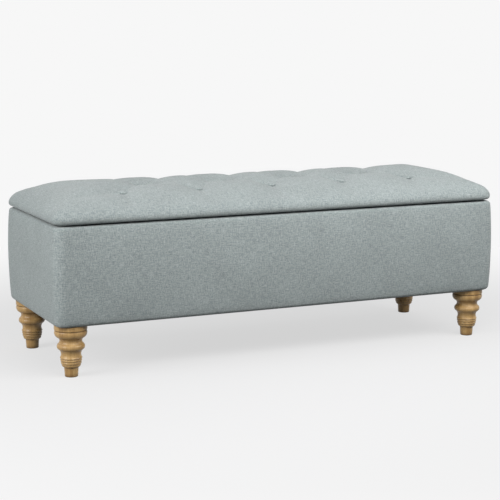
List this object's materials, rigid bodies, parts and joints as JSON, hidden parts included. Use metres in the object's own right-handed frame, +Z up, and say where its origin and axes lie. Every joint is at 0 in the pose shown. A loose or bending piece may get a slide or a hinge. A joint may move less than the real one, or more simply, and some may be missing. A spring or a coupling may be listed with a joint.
{
  "type": "ottoman with storage",
  "caption": "Long upholstered storage ottoman: padded box on turned wooden legs, with a diamond-tufted padded lid hinged at the back and held by gas struts.",
  "frame": {"origin": "on the floor under the middle of the box", "axes": "+X along the length, -Y the front where the lid lifts, +Z up"},
  "size_m": [1.282, 0.4575, 0.48],
  "materials": {
    "bracket_steel": "plated steel, satin",
    "buffer_rubber": "black rubber, matt",
    "dust_fabric": "black non-woven dust cover, matt",
    "foam": "matt upholstery foam",
    "lining": "black non-woven lining, matt",
    "oak": "light oak, satin lacquer",
    "plywood": "plain birch plywood, satin",
    "strut_black": "black paint, satin",
    "strut_chrome": "polished chrome",
    "twine": "waxed twine, matt",
    "upholstery": "pale duck-egg grey woven melange, matt",
    "wadding": "matt white polyester wadding",
    "zinc_steel": "bright zinc plate, satin"
  },
  "bodies": {
    "base": {"back_batten": "plywood", "back_padding": "wadding", "back_panel": "plywood", "base_hinge_leaf_left": "zinc_steel", "base_hinge_leaf_middle": "zinc_steel", "base_hinge_leaf_right": "zinc_steel", "base_hinge_screws": "zinc_steel", "body_cover": "upholstery", "bottom_panel": "plywood", "corner_block_back_left": "plywood", "corner_block_back_right": "plywood", "corner_block_front_left": "plywood", "corner_block_front_right": "plywood", "dust_cover": "dust_fabric", "front_batten": "plywood", "front_padding": "wadding", "front_panel": "plywood", "hanger_bolt_back_left": "zinc_steel", "hanger_bolt_back_right": "zinc_steel", "hanger_bolt_front_left": "zinc_steel", "hanger_bolt_front_right": "zinc_steel", "hinge_pin_left": "zinc_steel", "hinge_pin_middle": "zinc_steel", "hinge_pin_right": "zinc_steel", "left_end_padding": "wadding", "left_end_panel": "plywood", "leg_back_left": "oak", "leg_back_right": "oak", "leg_front_left": "oak", "leg_front_right": "oak", "lid_buffer_left": "buffer_rubber", "lid_buffer_right": "buffer_rubber", "right_end_padding": "wadding", "right_end_panel": "plywood", "storage_lining": "lining", "strut_base_bracket_left": "bracket_steel", "strut_base_bracket_right": "bracket_steel", "tee_nut_back_left": "zinc_steel", "tee_nut_back_right": "zinc_steel", "tee_nut_front_left": "zinc_steel", "tee_nut_front_right": "zinc_steel"},
    "lid": {"lid_board": "plywood", "lid_cover": "upholstery", "lid_foam": "foam", "lid_hinge_leaf_left": "zinc_steel", "lid_hinge_leaf_middle": "zinc_steel", "lid_hinge_leaf_right": "zinc_steel", "lid_hinge_screws": "zinc_steel", "lid_lining": "lining", "strut_lid_bracket_left": "bracket_steel", "strut_lid_bracket_right": "bracket_steel", "tuft_buttons_back": "upholstery", "tuft_buttons_front": "upholstery", "tuft_buttons_middle": "upholstery", "tuft_ties": "twine"},
    "strut_tube_left": {"strut_tube_left": "strut_black"},
    "strut_tube_right": {"strut_tube_right": "strut_black"},
    "strut_rod_left": {"strut_rod_left": "strut_chrome"},
    "strut_rod_right": {"strut_rod_right": "strut_chrome"}
  },
  "joints": [
    {"name": "lid_hinge", "type": "hinge", "parent": "base", "child": "lid", "pos_m": [0, 0.228, 0.3925], "axis": [-1, 0, 0], "range_deg": [0, 80]},
    {"name": "strut_base_pivot_left", "type": "hinge", "parent": "base", "child": "strut_tube_left", "pos_m": [-0.596, 0.168, 0.2025], "axis": [-1, 0, 0], "range_deg": [0, 40.5]},
    {"name": "strut_lid_pivot_left", "type": "hinge", "parent": "lid", "child": "strut_rod_left", "pos_m": [-0.596, 0.028, 0.3705], "axis": [-1, 0, 0], "range_deg": [-40, 0]},
    {"name": "strut_base_pivot_right", "type": "hinge", "parent": "base", "child": "strut_tube_right", "pos_m": [0.596, 0.168, 0.2025], "axis": [-1, 0, 0], "range_deg": [0, 40.5]},
    {"name": "strut_lid_pivot_right", "type": "hinge", "parent": "lid", "child": "strut_rod_right", "pos_m": [0.596, 0.028, 0.3705], "axis": [-1, 0, 0], "range_deg": [-40, 0]}
  ],
  "couplings": [
    {"joint": "strut_base_pivot_left", "follows": "lid_hinge", "ratio": 0.504},
    {"joint": "strut_lid_pivot_left", "follows": "lid_hinge", "ratio": -0.496},
    {"joint": "strut_base_pivot_right", "follows": "lid_hinge", "ratio": 0.504},
    {"joint": "strut_lid_pivot_right", "follows": "lid_hinge", "ratio": -0.496}
  ]
}
